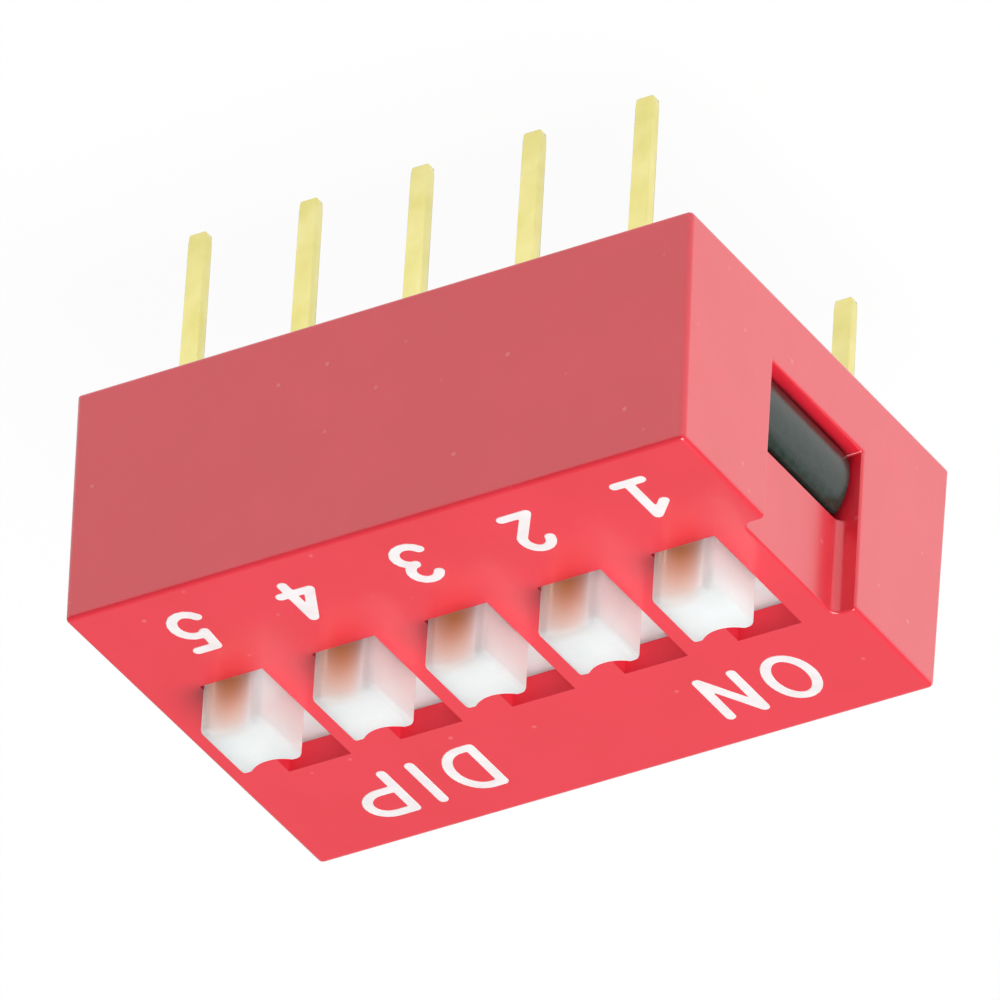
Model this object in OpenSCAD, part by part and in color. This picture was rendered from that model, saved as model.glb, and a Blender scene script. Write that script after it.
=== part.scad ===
// Five-position slide DIP switch for a circuit board.
// X runs along the rows of pins, Y across them, and +Z out of the face with the knobs.
// The origin is at the middle of the underside, where the switch seats on its board.
// Every slider is drawn in its off position, at the -Y end of its slot.

/* [Package] */
// Spacing of neighbouring switches, and of the pins in a row
pitch = 2.54; // [2.4:0.02:3.6]
// Distance between the two rows of pins
row_spacing = 7.62; // [7.4:0.02:10.16]
// Body beyond the last switch's share of the pitch, at each end
end_margin = 0.6; // [0.5:0.05:1.5]
// Height of the body, from the board to the face
body_h = 5.2; // [4.6:0.1:7]
// How far each long wall leans in over the body's height
draft = 0.17; // [0:0.01:0.3]

/* [Cover] */
// Thickness of the face, with the slots in it
face_t = 0.6; // [0.4:0.05:0.9]
// Thickness of the long walls at the underside
side_wall = 0.7; // [0.5:0.05:1.2]
// Gap between the cover and the base inside it
fit_gap = 0.05; // [0.02:0.01:0.1]
// Width of the recess in each end wall; it runs on to the face at switch 1's end only
recess_w = 3.44; // [2.4:0.02:5]
// Depth of the recess
recess_depth = 0.48; // [0.3:0.02:0.5]
// Thickness of the wall that is left behind the recess
web_t = 0.35; // [0.2:0.05:0.4]
// Radius in the upright corners of the recess
recess_r = 0.2; // [0.05:0.01:0.25]
// Height of the recess's ledge above the underside
ledge_z = 1.52; // [1:0.02:1.8]
// Height of the window above the ledge
window_h = 1.5; // [1:0.05:1.8]

/* [Sliders] */
// Width of a knob, along X
knob_w = 1.36; // [1.1:0.02:1.44]
// Length of a knob, along Y
knob_l = 1.64; // [1.4:0.02:2.2]
// Height of a knob above the face
knob_h = 1.1; // [0.3:0.05:1.5]
// Depth of the upright hollow in each end of a knob
scallop_d = 0.18; // [0.05:0.01:0.25]
// Flat left on each side of the hollow
scallop_land = 0.22; // [0.05:0.01:0.3]
// Travel from off to on
travel = 1.6; // [1:0.1:1.8]
// Middle of the slots, from the middle of the body towards the ON side
slot_y = 0; // [-0.4:0.01:0.4]
// Gap between a knob and each side of its slot
side_gap = 0.03; // [0.02:0.01:0.06]
// Gap between a knob and the end of its slot
stop_gap = 0.04; // [0.02:0.01:0.1]
// Running gap above and below a slider's plate
slide_gap = 0.02; // [0.01:0.01:0.05]
// Thickness of the plate under the face, which keeps the slot closed
plate_t = 0.6; // [0.3:0.05:0.8]
// Plate beyond each side of the slot
plate_lip = 0.22; // [0.1:0.02:0.24]
// Plate beyond the end of the slot when the slider stands at the other end
plate_lap = 0.15; // [0.05:0.05:0.3]
// Plate beyond each side of the carrier under it
carrier_margin = 0.33; // [0.25:0.01:0.4]

/* [Contacts] */
// Thickness of a contact spring
spring_t = 0.12; // [0.08:0.01:0.15]
// Distance between a spring's two feet, beyond the travel
foot_reach = 0.5; // [0.4:0.05:0.7]
// Radius that a spring's feet are curled to, at the middle of the strip
foot_r = 0.2; // [0.15:0.01:0.25]
// Wall of the pocket that holds a spring
pocket_wall = 0.16; // [0.1:0.01:0.2]
// Height of the pocket
pocket_h = 0.9; // [0.5:0.05:1]
// Gap between a spring and the walls of its pocket
spring_gap = 0.05; // [0.02:0.01:0.08]
// Gap between the carrier and the floor, which the spring's feet bridge
foot_room = 0.5; // [0.4:0.05:0.6]

/* [Base] */
// Thickness of the floor under the sliders
floor_t = 1.4; // [1.2:0.05:1.6]
// Plastic outside each row of pins
pin_cover = 0.27; // [0.2:0.01:0.5]
// Gap between a slider and what guides it under the face
channel_gap = 0.04; // [0.02:0.01:0.06]
// Gap between a latch and the window that it snaps into
latch_gap = 0.12; // [0.02:0.01:0.16]
// How far the latch's nose stays behind the end of the body
latch_setback = 0.2; // [0.1:0.01:0.25]
// Radius of the latch's nose
latch_r = 1.5; // [1.3:0.1:4]
// Height of the latch's nose above the ledge
latch_nose = 0.56; // [0.2:0.02:0.6]
// Height of the seating pad under the floor
pad_h = 0.12; // [0.05:0.01:0.2]
// Clear strip between the seating pad and each row of pins
pad_clear = 0.9; // [0.6:0.05:1.2]
// Depth of the relief around each pin
relief_h = 0.2; // [0.1:0.05:0.3]
// Width of the relief beyond each side of a pin
relief_margin = 0.32; // [0.2:0.02:0.4]

/* [Terminals] */
// Width of a pin
pin_w = 0.42; // [0.35:0.01:0.6]
// Thickness of the strip that a terminal is stamped from
strip_t = 0.24; // [0.2:0.01:0.3]
// Length of the pins below the underside
pin_l = 3.9; // [2.5:0.1:4.5]
// Width of a pin at its tip
tip_w = 0.38; // [0.2:0.01:0.4]
// Length of the tapered tip
tip_l = 0.2; // [0.1:0.1:1.5]
// Width of a terminal inside the base
arm_w = 0.9; // [0.7:0.02:1.1]
// Plastic between a terminal's shoulder and the relief below it
shoulder_cover = 0.13; // [0.05:0.01:0.3]

/* [Hidden] */
POSITIONS = 5;

$fn = 64;

// Cuts run this far past the faces that they open.
past = 1;

// Body and cover
body_l = POSITIONS * pitch + 2 * end_margin;
pin_outer_y = (row_spacing + strip_t) / 2;
cavity_w = 2 * (pin_outer_y + pin_cover + fit_gap);
body_w = cavity_w + 2 * side_wall;
end_wall = recess_depth + web_t;
cavity_l = body_l - 2 * end_wall;
cavity_h = body_h - face_t;
slot_w = knob_w + 2 * side_gap;
slot_l = knob_l + travel + 2 * stop_gap;

// Sliders, in their off position
off_y = slot_y - travel / 2;
plate_w = slot_w + 2 * plate_lip;
plate_l = slot_l + travel + 2 * plate_lap;
plate_top = cavity_h - slide_gap;
plate_z = plate_top - plate_t;
carrier_w = plate_w - 2 * carrier_margin;
foot_span = travel + foot_reach;
pocket_w = carrier_w - 2 * pocket_wall;
pocket_l = foot_span + 2 * foot_r + spring_t + 2 * spring_gap;
carrier_l = pocket_l + 2 * pocket_wall;
carrier_z = floor_t + foot_room;
scallop_w = knob_w - 2 * scallop_land;
scallop_r = (pow(scallop_w / 2, 2) + pow(scallop_d, 2)) / (2 * scallop_d);

// Base
base_l = cavity_l - 2 * fit_gap;
base_w = cavity_w - 2 * fit_gap;
base_top = plate_z - slide_gap;
channel_w = carrier_w + 2 * channel_gap;
channel_l = carrier_l + travel + 2 * (stop_gap + channel_gap);
base_end_wall = (base_l - channel_w) / 2 - switch_x(POSITIONS);
latch_w = recess_w - 2 * latch_gap;
pad_w = row_spacing - strip_t - 2 * pad_clear;
pad_l = (POSITIONS - 1) * pitch + channel_w;
relief_w = pin_w + 2 * relief_margin;
relief_top = pad_h + relief_h;
shoulder_z = relief_top + shoulder_cover;

// Springs and terminals
spring_w = pocket_w - 2 * spring_gap;
spring_top = carrier_z + pocket_h - spring_t / 2;
foot_z = floor_t + slide_gap + spring_t / 2 + foot_r;
a_end = slot_y + travel / 2 - foot_span / 2 + foot_reach / 2;
b_end = slot_y + foot_span / 2;

// Place of a switch along X
function switch_x(i) = (i - (POSITIONS + 1) / 2) * pitch;

// Unit normal to the left of the way from p to q
function left_of(p, q) = [p[1] - q[1], q[0] - p[0]] / norm(q - p);

// Offset of a strip's edge at point i of its middle line, mitred where the line bends
function mitre(line, i) =
    let (last = len(line) - 1,
         before = left_of(line[max(i - 1, 0)], line[max(i, 1)]),
         after = left_of(line[min(i, last - 1)], line[min(i + 1, last)]))
    (before + after) / (1 + before * after);

// Outline of a strip of even thickness along a middle line
module strip(line, thickness) {
    last = len(line) - 1;
    polygon(concat(
        [for (i = [0 : last]) line[i] + mitre(line, i) * thickness / 2],
        [for (i = [last : -1 : 0]) line[i] - mitre(line, i) * thickness / 2]
    ));
}

// Box centred on X and Y that stands on height z
module block(l, w, z, h) {
    translate([-l / 2, -w / 2, z]) cube([l, w, h]);
}

// A drawing of the Y-Z plane, made w wide along X
module across_x(w) {
    rotate([90, 0, 90]) translate([0, 0, -w / 2]) linear_extrude(w) children();
}

// Children at one end of the body, +X or -X; they are drawn at the +X end
module at_end(side) {
    mirror([side < 0 ? 1 : 0, 0, 0]) children();
}

module at_switch(i) {
    translate([switch_x(i), 0, 0]) children();
}

// Recess in an end wall, with rounded corners, and the window behind its lower part
module end_recess(h) {
    floor_x = body_l / 2 - recess_depth;
    translate([0, 0, ledge_z]) linear_extrude(h) {
        translate([floor_x, recess_r - recess_w / 2]) square([recess_depth + past, recess_w - 2 * recess_r]);
        translate([floor_x + recess_r, -recess_w / 2]) square([recess_depth + past, recess_w]);
        for (side = [-1, 1])
            translate([floor_x + recess_r, side * (recess_w / 2 - recess_r)]) circle(recess_r);
    }
    translate([cavity_l / 2 - past, -recess_w / 2, ledge_z]) cube([past + end_wall, recess_w, window_h]);
}

module cover() {
    color("crimson") difference() {
        across_x(body_l) polygon([
            [-body_w / 2, 0], [body_w / 2, 0], [body_w / 2 - draft, body_h], [draft - body_w / 2, body_h]
        ]);
        difference() {
            block(cavity_l, cavity_w, -past, past + cavity_h);
            // Ribs under the face that part the sliders' plates
            for (i = [1 : POSITIONS - 1])
                translate([switch_x(i) + pitch / 2, 0, 0])
                    block(pitch - plate_w - 2 * channel_gap, cavity_w, base_top + slide_gap, body_h);
        }
        for (i = [1 : POSITIONS]) at_switch(i)
            translate([0, slot_y, 0]) block(slot_w, slot_l, cavity_h - past, face_t + 2 * past);
        at_end(-1) end_recess(body_h);
        at_end(1) end_recess(window_h);
    }
}

// Nose on the end of the base that snaps into the cover's window
module latch() {
    root_x = (base_l - base_end_wall) / 2;
    nose_x = body_l / 2 - latch_setback;
    intersection() {
        translate([root_x, -latch_w / 2, ledge_z + latch_gap])
            cube([nose_x - root_x, latch_w, window_h - 2 * latch_gap]);
        translate([nose_x - latch_r, 0, ledge_z + latch_nose])
            rotate([90, 0, 0]) cylinder(h = recess_w, r = latch_r, center = true, $fn = 180);
    }
}

module base() {
    color("#2a302e") difference() {
        union() {
            block(base_l, base_w, pad_h, base_top - pad_h);
            block(pad_l, pad_w, 0, 2 * pad_h);
            for (side = [-1, 1]) at_end(side) latch();
        }
        for (i = [1 : POSITIONS]) at_switch(i) {
            translate([0, slot_y, 0]) block(channel_w, channel_l, floor_t, body_h);
            for (side = [-1, 1]) translate([0, side * row_spacing / 2, 0])
                block(relief_w, strip_t + 2 * relief_margin, -past, past + relief_top);
            terminal_blank(-1, a_end);
            terminal_blank(1, b_end);
        }
    }
}

// One terminal: a contact arm in the floor, a shoulder and a pin. side is -1 or 1.
module terminal_blank(side, inner_end) {
    pin_y = side * row_spacing / 2;
    outer_end = pin_y + side * strip_t / 2;
    arm_from = min(inner_end, outer_end);
    arm_to = max(inner_end, outer_end);
    translate([-arm_w / 2, arm_from, floor_t - strip_t]) cube([arm_w, arm_to - arm_from, strip_t]);
    translate([0, pin_y + strip_t / 2, 0]) rotate([90, 0, 0]) linear_extrude(strip_t) {
        translate([-arm_w / 2, shoulder_z]) square([arm_w, floor_t - shoulder_z]);
        polygon([
            [-pin_w / 2, floor_t], [-pin_w / 2, tip_l - pin_l], [-tip_w / 2, -pin_l],
            [tip_w / 2, -pin_l], [pin_w / 2, tip_l - pin_l], [pin_w / 2, floor_t]
        ]);
    }
}

module terminal_a(i) {
    color("#d8cc7c") at_switch(i) terminal_blank(-1, a_end);
}

module terminal_b(i) {
    color("#d8cc7c") at_switch(i) terminal_blank(1, b_end);
}

module slider(i) {
    color("#f2f4ee") at_switch(i) translate([0, off_y, 0]) difference() {
        union() {
            block(knob_w, knob_l, plate_z, body_h + knob_h - plate_z);
            block(plate_w, plate_l, plate_z, plate_t);
            block(carrier_w, carrier_l, carrier_z, plate_top - carrier_z);
        }
        for (side = [-1, 1])
            translate([0, side * (knob_l / 2 + scallop_r - scallop_d), plate_top])
                cylinder(h = body_h + knob_h, r = scallop_r);
        block(pocket_w, pocket_l, carrier_z - past, past + pocket_h);
    }
}

// Bridging leaf: flat against the roof of its pocket, with a curled foot at each end
module contact_spring(i) {
    foot_y = foot_span / 2;
    half = concat(
        [[foot_y / 2, spring_top]],
        [for (a = [200 : 20 : 320]) [foot_y + foot_r * cos(a), foot_z + foot_r * sin(a)]]
    );
    other_half = [for (k = [len(half) - 1 : -1 : 0]) [-half[k][0], half[k][1]]];
    color("#d0ab4e") at_switch(i) translate([0, off_y, 0])
        across_x(spring_w) strip(concat(other_half, half), spring_t);
}

cover();
base();
for (i = [1 : POSITIONS]) {
    slider(i);
    contact_spring(i);
    terminal_a(i);
    terminal_b(i);
}
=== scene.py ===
"""Looks of a five-way slide DIP switch: glossy red cover, white sliders, dark base and pale gilt pins.

X runs along the rows of pins, Y across them and +Z out of the face with the sliders.
"""

import math

import bmesh
import bpy
from mathutils import Euler, Matrix, Vector


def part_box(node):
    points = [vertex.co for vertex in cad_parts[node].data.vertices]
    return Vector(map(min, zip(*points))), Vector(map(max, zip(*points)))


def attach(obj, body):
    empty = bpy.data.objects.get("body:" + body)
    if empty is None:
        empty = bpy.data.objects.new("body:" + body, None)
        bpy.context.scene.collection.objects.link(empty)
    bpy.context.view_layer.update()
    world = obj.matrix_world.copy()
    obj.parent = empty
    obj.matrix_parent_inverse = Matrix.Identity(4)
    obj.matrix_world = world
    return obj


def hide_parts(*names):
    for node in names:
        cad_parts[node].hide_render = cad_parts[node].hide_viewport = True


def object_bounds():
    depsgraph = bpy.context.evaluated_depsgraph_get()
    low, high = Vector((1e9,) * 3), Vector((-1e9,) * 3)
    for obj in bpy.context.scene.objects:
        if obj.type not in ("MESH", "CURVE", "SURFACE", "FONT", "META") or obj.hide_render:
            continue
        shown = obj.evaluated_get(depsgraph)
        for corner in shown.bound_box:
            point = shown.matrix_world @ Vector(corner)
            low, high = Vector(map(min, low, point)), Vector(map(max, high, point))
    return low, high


MM = 0.001

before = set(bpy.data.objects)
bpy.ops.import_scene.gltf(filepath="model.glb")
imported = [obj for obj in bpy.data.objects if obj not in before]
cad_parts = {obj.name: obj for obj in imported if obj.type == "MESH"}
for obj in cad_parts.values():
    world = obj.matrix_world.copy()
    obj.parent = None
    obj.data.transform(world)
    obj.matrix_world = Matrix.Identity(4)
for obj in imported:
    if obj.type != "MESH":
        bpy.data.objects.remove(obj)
cad_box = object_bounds()

# Sizes of the solids, in mm
POSITIONS = 5
PITCH = 2.54
FACE_THICKNESS = 0.6
WALL_LEAN = 0.17
RECESS_DEPTH = 0.48
RECESS_HALF_WIDTH = 1.72
LEDGE_Z = 1.52
LATCH_REACH = 0.75
KNOB_HALF_WIDTH = 0.68
KNOB_LAND = 0.22
COVER = [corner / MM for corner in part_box("cover")]
HALF_LENGTH = COVER[1].x
HALF_WIDTH = COVER[1].y
FACE_Z = COVER[1].z
KNOB_TOP_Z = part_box("slider_1")[1].z / MM
KNOB_END_Y = min(v.co.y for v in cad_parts["slider_1"].data.vertices if v.co.z / MM > FACE_Z) / MM


# Finishes


def linear(hex_colour):
    """An sRGB colour, such as "#f04e5c", as the linear RGBA that a shader reads."""
    channels = [int(hex_colour[i : i + 2], 16) / 255 for i in (1, 3, 5)]
    return [c / 12.92 if c <= 0.04045 else ((c + 0.055) / 1.055) ** 2.4 for c in channels] + [1.0]


def add(tree, kind, inputs=None, stops=(), **settings):
    """A node of a kind with its settings, and with the stops of a colour ramp.

    An input takes a value, another node's output, or a node, which gives its first output.
    """
    made = tree.nodes.new("ShaderNode" + kind)
    for name, value in settings.items():
        setattr(made, name, value)
    for name, value in (inputs or {}).items():
        if isinstance(value, bpy.types.Node):
            value = value.outputs[0]
        if isinstance(value, bpy.types.NodeSocket):
            tree.links.new(value, made.inputs[name])
        else:
            made.inputs[name].default_value = value
    for k, (place, colour) in enumerate(stops):
        made.color_ramp.elements[k].position = place
        made.color_ramp.elements[k].color = linear(colour)
    return made


def finish_of(name):
    """An empty material, its tree, its Object coordinates and its output."""
    made = bpy.data.materials.new(name)
    made.use_nodes = True
    tree = made.node_tree
    tree.nodes.clear()
    place = add(tree, "TexCoord").outputs["Object"]
    out = add(tree, "OutputMaterial")
    return made, tree, place, out


def red_moulded_abs():
    """Glossy red ABS from a polished mould: a clean red that takes a milky sheen where it turns away."""
    made, tree, place, out = finish_of("red_moulded_abs")
    # The melt leaves soft clouds a few millimetres wide, a shade apart.
    clouds = add(tree, "TexNoise", {"Vector": place, "Scale": 1 / (2.2 * MM), "Detail": 3.0})
    colour = add(tree, "ValToRGB", {"Fac": clouds}, [(0.30, "#f4293c"), (0.70, "#fa2d43")])
    # Dust nibs that the mould leaves, 0.06 mm wide and well apart.
    nibs = add(tree, "TexVoronoi", {"Vector": place, "Scale": 1 / (0.85 * MM), "Randomness": 1.0})
    nib = add(
        tree,
        "MapRange",
        {"Value": nibs, "From Min": 0.035, "From Max": 0.075, "To Min": 0.35, "To Max": 0.0},
    )
    speckled = add(tree, "Mix", {"Factor": nib, 6: colour, 7: linear("#ff9aa0")}, data_type="RGBA")
    # Orange peel 0.25 mm wide, over a mould texture drawn coarser than the real one so that it shows
    swells = add(tree, "TexNoise", {"Vector": place, "Scale": 1 / (0.25 * MM)})
    peel = add(tree, "Bump", {"Height": swells, "Distance": 0.0018 * MM, "Strength": 1.0})
    grain = add(tree, "TexNoise", {"Vector": place, "Scale": 1 / (0.06 * MM), "Detail": 1.0})
    skin = add(tree, "Bump", {"Height": grain, "Distance": 0.0005 * MM, "Strength": 1.0, "Normal": peel})
    # The polish varies, but keeps clear of 0.27, across which the denoiser drew false outlines.
    polish = add(tree, "TexNoise", {"Vector": place, "Scale": 1 / (0.8 * MM), "Detail": 3.0})
    gloss = add(
        tree,
        "MapRange",
        {"Value": polish, "From Min": 0.3, "From Max": 0.7, "To Min": 0.285, "To Max": 0.345},
    )
    shader = add(
        tree,
        "BsdfPrincipled",
        {
            "Base Color": speckled.outputs[2],
            "Roughness": gloss,
            "IOR": 1.6,
            "Normal": skin,
            "Coat Weight": 1.0,
            "Coat Roughness": 0.22,
            "Coat IOR": 1.5,
            "Coat Normal": peel,
        },
    )
    tree.links.new(shader.outputs[0], out.inputs[0])
    return made


def matt_moulded_abs():
    """The same red ABS off unpolished cores, inside the slots: it takes no sheen from the white knobs."""
    made, tree, place, out = finish_of("matt_moulded_abs")
    clouds = add(tree, "TexNoise", {"Vector": place, "Scale": 1 / (0.5 * MM), "Detail": 3.0})
    colour = add(tree, "ValToRGB", {"Fac": clouds}, [(0.30, "#fa3046"), (0.70, "#ff344c")])
    # Spark marks of the core, 0.05 mm wide, which scatter the light
    marks = add(tree, "TexNoise", {"Vector": place, "Scale": 1 / (0.05 * MM)})
    skin = add(tree, "Bump", {"Height": marks, "Distance": 0.002 * MM, "Strength": 1.0})
    shader = add(
        tree,
        "BsdfPrincipled",
        {"Base Color": colour, "Roughness": 0.6, "IOR": 1.5, "Normal": skin},
    )
    tree.links.new(shader.outputs[0], out.inputs[0])
    return made


# Painted shade on the -Y end of each knob: the shadow and the red light bounced off the cover,
# where the end stands against its slot, painted warm brown into the colour. In mm and by its own
# coordinates: it is full at the face and gone at the knob's top, it stays on the end, and its middle
# is a little off the knob's.
PAINTED_SHADE_ON_Z = (KNOB_TOP_Z + 0.06, FACE_Z + 0.02)
PAINTED_SHADE_OFF_PLATE_Z = (FACE_Z - 0.5, FACE_Z - 0.1)
PAINTED_SHADE_ON_Y = (KNOB_END_Y + 0.45, KNOB_END_Y + 0.22)
PAINTED_SHADE_MIDDLE_X = 0.15


def painted_end_shade(tree, place):
    """How strong the painted shade is: 0 on the bare plastic, 1 at its fullest."""
    axes = add(tree, "SeparateXYZ", {"Vector": place}).outputs
    shares = []
    for axis, (clear, full) in (("Z", PAINTED_SHADE_ON_Z), ("Z", PAINTED_SHADE_OFF_PLATE_Z), ("Y", PAINTED_SHADE_ON_Y)):
        faded = {"Value": axes[axis], "From Min": clear * MM, "From Max": full * MM}
        shares.append(add(tree, "MapRange", {**faded, "To Min": 0.0, "To Max": 1.0}))
    # It fades more slowly near the face than near the top.
    shares[0] = add(tree, "Math", {0: shares[0], 1: 0.65}, operation="POWER")
    # One wave to each knob, along the row
    across = add(tree, "Math", {0: axes["X"], 1: PAINTED_SHADE_MIDDLE_X * MM}, operation="SUBTRACT")
    turns = add(tree, "Math", {0: across, 1: 2 * math.pi / (PITCH * MM)}, operation="MULTIPLY")
    wave = add(tree, "Math", {0: turns}, operation="COSINE")
    shares.append(
        add(tree, "MapRange", {"Value": wave, "From Min": 0.2, "From Max": 1.0, "To Min": 0.0, "To Max": 1.0})
    )
    painted_shade = shares[0]
    for share in shares[1:]:
        painted_shade = add(tree, "Math", {0: painted_shade, 1: share}, operation="MULTIPLY")
    return painted_shade


def white_moulded_acetal():
    """White acetal: waxy, slightly see-through at its edges, with a soft sheen."""
    made, tree, place, out = finish_of("white_moulded_acetal")
    clouds = add(tree, "TexNoise", {"Vector": place, "Scale": 1 / (0.9 * MM), "Detail": 3.0})
    colour = add(tree, "ValToRGB", {"Fac": clouds}, [(0.30, "#eaf6f4"), (0.70, "#f1fbfa")])
    # The end that stands against its slot lies in shade and takes red light off the cover; that warm brown
    # shade is painted into the colour here.
    painted_shade = painted_end_shade(tree, place)
    painted_shade_colour = add(tree, "Mix", {"Factor": painted_shade, 6: colour, 7: linear("#dea877")}, data_type="RGBA")
    swells = add(tree, "TexNoise", {"Vector": place, "Scale": 1 / (0.12 * MM)})
    skin = add(tree, "Bump", {"Height": swells, "Distance": 0.0012 * MM, "Strength": 1.0})
    polish = add(tree, "TexNoise", {"Vector": place, "Scale": 1 / (0.4 * MM), "Detail": 3.0})
    gloss = add(
        tree,
        "MapRange",
        {"Value": polish, "From Min": 0.3, "From Max": 0.7, "To Min": 0.34, "To Max": 0.44},
    )
    shader = add(
        tree,
        "BsdfPrincipled",
        {
            "Base Color": painted_shade_colour.outputs[2],
            "Roughness": gloss,
            "IOR": 1.48,
            "Normal": skin,
            "Subsurface Weight": 1.0,
            "Subsurface Radius": (1.0, 0.95, 0.90),
            "Subsurface Scale": 2.5 * MM,
        },
        subsurface_method="BURLEY",
    )
    tree.links.new(shader.outputs[0], out.inputs[0])
    return made


def dark_filled_polyester():
    """Glass-filled polyester, nearly black with a green cast: satin, with fibres that mottle its skin."""
    made, tree, place, out = finish_of("dark_filled_polyester")
    fibres = add(
        tree, "TexNoise", {"Vector": place, "Scale": 1 / (0.16 * MM), "Detail": 4.0, "Roughness": 0.6}
    )
    colour = add(tree, "ValToRGB", {"Fac": fibres}, [(0.30, "#1f2d28"), (0.70, "#2d3e37")])
    ends = add(
        tree, "TexNoise", {"Vector": place, "Scale": 1 / (0.07 * MM), "Detail": 3.0, "Roughness": 0.6}
    )
    skin = add(tree, "Bump", {"Height": ends, "Distance": 0.0015 * MM, "Strength": 1.0})
    gloss = add(
        tree,
        "MapRange",
        {"Value": fibres, "From Min": 0.3, "From Max": 0.7, "To Min": 0.19, "To Max": 0.26},
    )
    shader = add(
        tree,
        "BsdfPrincipled",
        {"Base Color": colour, "Roughness": gloss, "IOR": 1.6, "Normal": skin},
    )
    tree.links.new(shader.outputs[0], out.inputs[0])
    return made


def gilt_stamped_brass(name, pale, deep, dull=0.0):
    """Stamped brass strip under a thin gold flash: pale yellow, with lines drawn along the strip."""
    made, tree, place, out = finish_of(name)
    along = add(tree, "Mapping", {"Vector": place, "Scale": (1.0, 1.0, 0.06)})
    lines = add(
        tree, "TexNoise", {"Vector": along, "Scale": 1 / (0.05 * MM), "Detail": 3.0, "Roughness": 0.6}
    )
    tint = add(tree, "TexNoise", {"Vector": place, "Scale": 1 / (0.7 * MM), "Detail": 3.0})
    colour = add(tree, "ValToRGB", {"Fac": tint}, [(0.30, deep), (0.70, pale)])
    skin = add(tree, "Bump", {"Height": lines, "Distance": 0.0012 * MM, "Strength": 1.0})
    gloss = add(
        tree,
        "MapRange",
        {"Value": lines, "From Min": 0.3, "From Max": 0.7, "To Min": 0.16 + dull, "To Max": 0.26 + dull},
    )
    shader = add(
        tree,
        "BsdfPrincipled",
        {"Base Color": colour, "Metallic": 1.0, "Roughness": gloss, "Normal": skin},
    )
    tree.links.new(shader.outputs[0], out.inputs[0])
    return made


def white_pad_ink():
    """White two-part pad-printing ink: opaque and flat, with a trace of unevenness in its white."""
    made, tree, place, out = finish_of("white_pad_ink")
    cover = add(tree, "TexNoise", {"Vector": place, "Scale": 1 / (0.3 * MM), "Detail": 3.0})
    colour = add(tree, "ValToRGB", {"Fac": cover}, [(0.30, "#f6eeee"), (0.70, "#fffafa")])
    shader = add(tree, "BsdfPrincipled", {"Base Color": colour, "Roughness": 0.5, "IOR": 1.5})
    tree.links.new(shader.outputs[0], out.inputs[0])
    return made


RED = red_moulded_abs()
MATT_RED = matt_moulded_abs()
WHITE = white_moulded_acetal()
DARK = dark_filled_polyester()
GILT = gilt_stamped_brass("gilt_stamped_brass", "#fbf2a8", "#f0e690")
SPRING = gilt_stamped_brass("gilt_spring_bronze", "#e6c878", "#d4ac58", 0.04)
INK = white_pad_ink()


# Moulded and stamped pieces

# How far, in mm, the rounding that a mould or a press leaves on an edge reaches into its faces
RIM_ROUND = 0.12
FOOT_ROUND = 0.09
INNER_FOOT_ROUND = 0.04
RECESS_MOUTH_ROUND = 0.06
RECESS_BEND_ROUND = 0.05
WINDOW_ROUND = 0.03
BASE_ROUND = 0.05
LATCH_ROUND = 0.03
KNOB_TOP_ROUND = 0.12
KNOB_CORNER_ROUND = 0.09
KNOB_HOLLOW_ROUND = 0.03
PIN_ROUND = 0.03
# How near a plane an edge's middle has to lie to count as on it
NEAR = 0.01
# Corners that turn less than this are facets of a curve.
FACET_ANGLE = math.radians(25)


def rounded(node, width_of, widest_mm, finish, segments=3):
    """A copy of a CAD node with its edges rounded, which stands for it.

    width_of says how far, in mm, the rounding of an edge reaches into its faces, from the
    edge's middle and its direction, both in mm. None leaves the edge sharp.
    """
    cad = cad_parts[node]
    mesh = cad.data.copy()
    mesh.name = node + "_rounded"
    body = bmesh.new()
    body.from_mesh(mesh)
    bmesh.ops.remove_doubles(body, verts=body.verts, dist=0.0001 * MM)
    bmesh.ops.dissolve_limit(body, angle_limit=math.radians(0.5), verts=body.verts, edges=body.edges)
    weight = body.edges.layers.float.new("bevel_weight_edge")
    for face in body.faces:
        face.smooth = True
    for edge in body.edges:
        if edge.calc_face_angle() < FACET_ANGLE:
            continue
        start, end = (v.co / MM for v in edge.verts)
        width = width_of((start + end) / 2, (end - start).normalized())
        if width:
            edge[weight] = width / widest_mm
        else:
            edge.smooth = False
    body.to_mesh(mesh)
    body.free()
    mesh.materials.clear()
    mesh.materials.append(finish)
    piece = bpy.data.objects.new(node + "_moulding", mesh)
    bpy.context.scene.collection.objects.link(piece)
    rounding = piece.modifiers.new("rounding", "BEVEL")
    rounding.limit_method = "WEIGHT"
    rounding.offset_type = "OFFSET"
    rounding.width = widest_mm * MM
    rounding.segments = segments
    rounding.profile = 0.5
    rounding.material = -1
    rounding.use_clamp_overlap = False
    shading = piece.modifiers.new("shading", "WEIGHTED_NORMAL")
    shading.keep_sharp = True
    return piece


def cover_edge(middle, along):
    x, y, z = abs(middle.x), abs(middle.y), middle.z
    if y < RECESS_HALF_WIDTH + NEAR and x > HALF_LENGTH - RECESS_DEPTH - NEAR and z > LEDGE_Z - NEAR:
        if x > HALF_LENGTH - NEAR or z > FACE_Z - NEAR:
            return RECESS_MOUTH_ROUND
        if x > HALF_LENGTH - RECESS_DEPTH + NEAR:
            return RECESS_BEND_ROUND
        return WINDOW_ROUND
    if x > HALF_LENGTH - NEAR or y > HALF_WIDTH - WALL_LEAN - NEAR:
        return FOOT_ROUND if z < NEAR else RIM_ROUND
    if z < NEAR:
        return INNER_FOOT_ROUND
    return None


def base_edge(middle, along):
    if abs(middle.x) > HALF_LENGTH - LATCH_REACH and abs(middle.y) < RECESS_HALF_WIDTH + NEAR:
        return LATCH_ROUND
    if middle.z < NEAR:
        return BASE_ROUND
    return None


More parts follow.
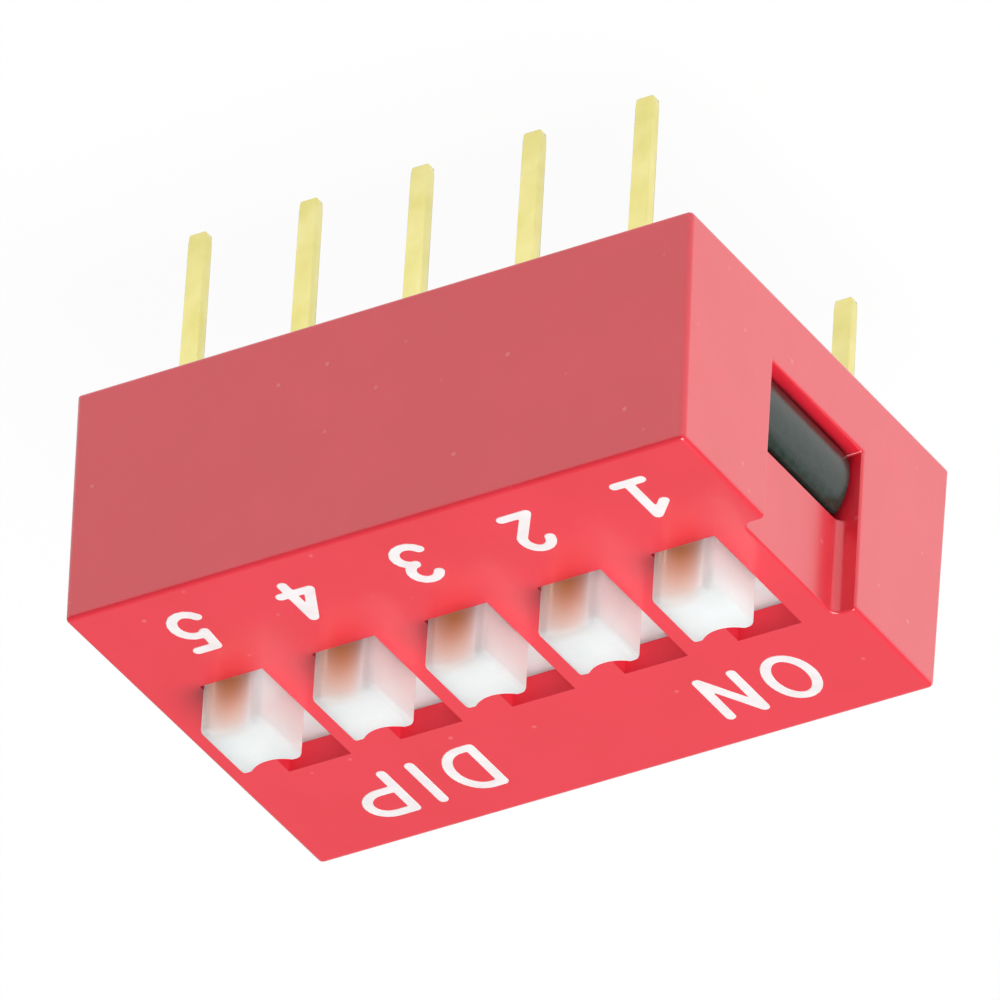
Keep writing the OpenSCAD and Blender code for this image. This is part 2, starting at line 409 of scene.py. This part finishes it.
def slider_edge(middle, along):
    if middle.z > KNOB_TOP_Z - NEAR:
        return KNOB_TOP_ROUND
    if middle.z > FACE_Z - FACE_THICKNESS and abs(along.z) > 0.9:
        off_centre = abs((middle.x + PITCH / 2) % PITCH - PITCH / 2)
        return KNOB_CORNER_ROUND if off_centre > KNOB_HALF_WIDTH - KNOB_LAND / 2 else KNOB_HOLLOW_ROUND
    return None


def terminal_edge(middle, along):
    # Only the pin, which shows below the body
    return PIN_ROUND if middle.z < 0.3 else None


moulded_cover = rounded("cover", cover_edge, RIM_ROUND, RED, 4)
moulded_cover.data.materials.append(MATT_RED)
for polygon in moulded_cover.data.polygons:
    x, y, z = (abs(c) / MM for c in polygon.center)
    through_face = FACE_Z - FACE_THICKNESS + NEAR < z < FACE_Z - NEAR
    if through_face and x < HALF_LENGTH - RECESS_DEPTH - NEAR and y < RECESS_HALF_WIDTH:
        polygon.material_index = 1
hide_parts("cover")
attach(moulded_cover, "root")

moulded_base = rounded("base", base_edge, BASE_ROUND, DARK)
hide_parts("base")
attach(moulded_base, "root")

for i in range(1, POSITIONS + 1):
    name = "slider_%d" % i
    moulded_slider = rounded(name, slider_edge, KNOB_TOP_ROUND, WHITE, 5)
    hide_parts(name)
    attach(moulded_slider, name)
    for row in "ab":
        name = "terminal_%d%s" % (i, row)
        stamped_terminal = rounded(name, terminal_edge, PIN_ROUND, GILT, 2)
        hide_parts(name)
        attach(stamped_terminal, "root")
    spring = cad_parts["contact_spring_%d" % i].data
    spring.materials.clear()
    spring.materials.append(SPRING)


# Printed characters


def arc(centre, radii, start, end, steps=12):
    """Points of part of an ellipse, from start to end in degrees."""
    angles = [math.radians(start + (end - start) * k / steps) for k in range(steps + 1)]
    return [(centre[0] + radii[0] * math.cos(a), centre[1] + radii[1] * math.sin(a)) for a in angles]


STROKE = 0.22
# Middle lines of each character's strokes, in mm, in a cell that starts at its lower left corner
CHARACTERS = {
    "1": [[(0.12, 0.93), (0.46, 1.28), (0.46, 0.12)], [(0.16, 0.12), (0.74, 0.12)]],
    "2": [arc((0.37, 0.95), (0.27, 0.33), 170, -20, 10) + [(0.12, 0.12), (0.66, 0.12)]],
    "3": [
        arc((0.34, 0.98), (0.27, 0.29), 155, -80, 10) + arc((0.34, 0.41), (0.31, 0.31), 80, -155, 10),
    ],
    "4": [[(0.52, 0.11), (0.52, 1.28), (0.10, 0.42), (0.74, 0.42)]],
    "5": [[(0.66, 1.32), (0.24, 1.32), (0.20, 0.80)] + arc((0.36, 0.50), (0.33, 0.38), 118, -150, 12)],
    "O": [arc((0.57, 0.78), (0.44, 0.66), 0, 360, 32)],
    "N": [[(0.12, 0.12), (0.12, 1.40), (0.88, 0.12), (0.88, 1.40)]],
    "D": [
        [(0.12, 0.12), (0.12, 1.42), (0.36, 1.42)]
        + arc((0.36, 0.77), (0.52, 0.65), 90, -90, 16)
        + [(0.12, 0.12)]
    ],
    "I": [[(0.12, 0.12), (0.12, 1.40)]],
    "P": [
        [(0.12, 0.12), (0.12, 1.42), (0.52, 1.42)]
        + arc((0.52, 1.04), (0.42, 0.38), 90, -90, 12)
        + [(0.12, 0.66)]
    ],
}
# Each character's lower left corner on the face, in mm
PRINT = [
    ("1", -5.66, -4.06),
    ("2", -3.06, -4.06),
    ("3", -0.54, -4.10),
    ("4", 2.02, -4.02),
    ("5", 4.50, -4.06),
    ("O", -5.24, 2.40),
    ("N", -3.80, 2.44),
    ("D", 2.08, 2.38),
    ("I", 3.46, 2.42),
    ("P", 4.10, 2.42),
]
INK_DEPTH = 0.012
# Spacing of the points that a character's outline is made of
INK_GRID = 0.016


def printed_character(character, left, low):
    """One character in ink: its strokes are swept as rods, fused, and pressed flat on the face."""
    rods = bmesh.new()
    for line in CHARACTERS[character]:
        points = [Vector((left + x, low + y, 0.0)) for x, y in line]
        for point in points:
            spot = Matrix.Translation(point)
            bmesh.ops.create_icosphere(rods, subdivisions=3, radius=STROKE / 2, matrix=spot)
        for start, end in zip(points, points[1:]):
            way = end - start
            if way.length < 1e-6:
                continue
            place = Matrix.Translation((start + end) / 2) @ way.to_track_quat("Z", "Y").to_matrix().to_4x4()
            bmesh.ops.create_cone(
                rods,
                cap_ends=True,
                segments=32,
                radius1=STROKE / 2,
                radius2=STROKE / 2,
                depth=way.length,
                matrix=place,
            )
    mesh = bpy.data.meshes.new("ink_rods")
    rods.to_mesh(mesh)
    rods.free()
    piece = bpy.data.objects.new("printed_" + character, mesh)
    bpy.context.scene.collection.objects.link(piece)
    fused = piece.modifiers.new("fused", "REMESH")
    fused.mode = "VOXEL"
    fused.voxel_size = INK_GRID
    fused.use_smooth_shade = True
    smoothed = piece.modifiers.new("smoothed", "SMOOTH")
    smoothed.factor = 0.5
    smoothed.iterations = 3
    graph = bpy.context.evaluated_depsgraph_get()
    ink = bpy.data.meshes.new_from_object(piece.evaluated_get(graph))
    piece.modifiers.clear()
    piece.data = ink
    bpy.data.meshes.remove(mesh)
    # Pressed flat: the rods' round tops become a layer with a soft shoulder.
    for vertex in ink.vertices:
        flat = max(-1.0, min(1.0, vertex.co.z / (0.22 * STROKE)))
        vertex.co = Vector((vertex.co.x, vertex.co.y, FACE_Z + flat * INK_DEPTH)) * MM
    ink.materials.append(INK)
    return piece


for character, left, low in PRINT:
    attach(printed_character(character, left, low), "root")


# Floor, light and camera


def studio_floor():
    """White paper that reads as pure white to the eye and in gloss, and keeps a trace of shadow."""
    paper = bmesh.new()
    bmesh.ops.create_grid(paper, x_segments=1, y_segments=1, size=2.0)
    mesh = bpy.data.meshes.new("studio_floor")
    paper.to_mesh(mesh)
    paper.free()
    mesh.transform(Matrix.Translation((0, 0, cad_box[0].z)))
    floor = bpy.data.objects.new("studio_floor", mesh)
    bpy.context.scene.collection.objects.link(floor)
    made = bpy.data.materials.new("white_paper")
    made.use_nodes = True
    tree = made.node_tree
    tree.nodes.clear()
    ray = add(tree, "LightPath").outputs
    # Reflections keep more of the shadow under the switch than the eye's own view does.
    mirrored = add(
        tree, "Math", {0: ray["Is Glossy Ray"], 1: ray["Is Transmission Ray"]}, operation="MAXIMUM"
    )
    mirrored = add(tree, "Math", {0: mirrored, 1: 0.85}, operation="MULTIPLY")
    direct = add(tree, "Math", {0: ray["Is Camera Ray"], 1: 0.96}, operation="MULTIPLY")
    share = add(tree, "Math", {0: mirrored, 1: direct}, operation="MAXIMUM")
    lit = add(tree, "BsdfDiffuse", {"Color": linear("#ffffff")})
    glow = add(tree, "Emission", {"Color": linear("#ffffff"), "Strength": 1.0})
    mixed = add(tree, "MixShader", {0: share, 1: lit, 2: glow})
    add(tree, "OutputMaterial", {"Surface": mixed})
    mesh.materials.append(made)


def soft_light(name, place_mm, aim_mm, size_mm, watts):
    lamp = bpy.data.lights.new(name, "AREA")
    lamp.shape = "SQUARE"
    lamp.size = size_mm * MM
    lamp.energy = watts
    light = bpy.data.objects.new(name, lamp)
    bpy.context.scene.collection.objects.link(light)
    light.location = Vector(place_mm) * MM
    light.rotation_euler = (Vector(aim_mm) - Vector(place_mm)).to_track_quat("-Z", "Y").to_euler()
    return light


studio_floor()
soft_light("overhead_softbox", (-112, -8, 258), (0, 0, 0), 200, 0.75)

# The room is dim behind the camera and lighter beyond the switch.
world = bpy.data.worlds.new("studio")
world.use_nodes = True
room = world.node_tree
way = add(room, "TexCoord").outputs["Generated"]
towards = add(room, "VectorMath", {0: way, 1: (0.60, 0.80, 0.0)}, operation="DOT_PRODUCT")
level = add(
    room,
    "MapRange",
    {"Value": towards.outputs["Value"], "From Min": -0.9, "From Max": 0.9, "To Min": 0.08, "To Max": 0.40},
)
room.nodes["Background"].inputs["Color"].default_value = linear("#ffffff")
room.links.new(level.outputs["Result"], room.nodes["Background"].inputs["Strength"])
bpy.context.scene.world = world

camera_data = bpy.data.cameras.new("camera")
camera_data.sensor_width = 36.0
camera_data.lens = 755.5
camera_data.clip_start = 0.01
camera_data.clip_end = 10.0
camera = bpy.data.objects.new("camera", camera_data)
bpy.context.scene.collection.objects.link(camera)
camera.location = Vector((-183.116, -282.410, 230.735)) * MM
camera.rotation_euler = Euler([math.radians(a) for a in (-55.7011, 2.9574, 149.0252)], "XYZ")
bpy.context.scene.camera = camera

scene = bpy.context.scene
scene.view_settings.view_transform = "Standard"
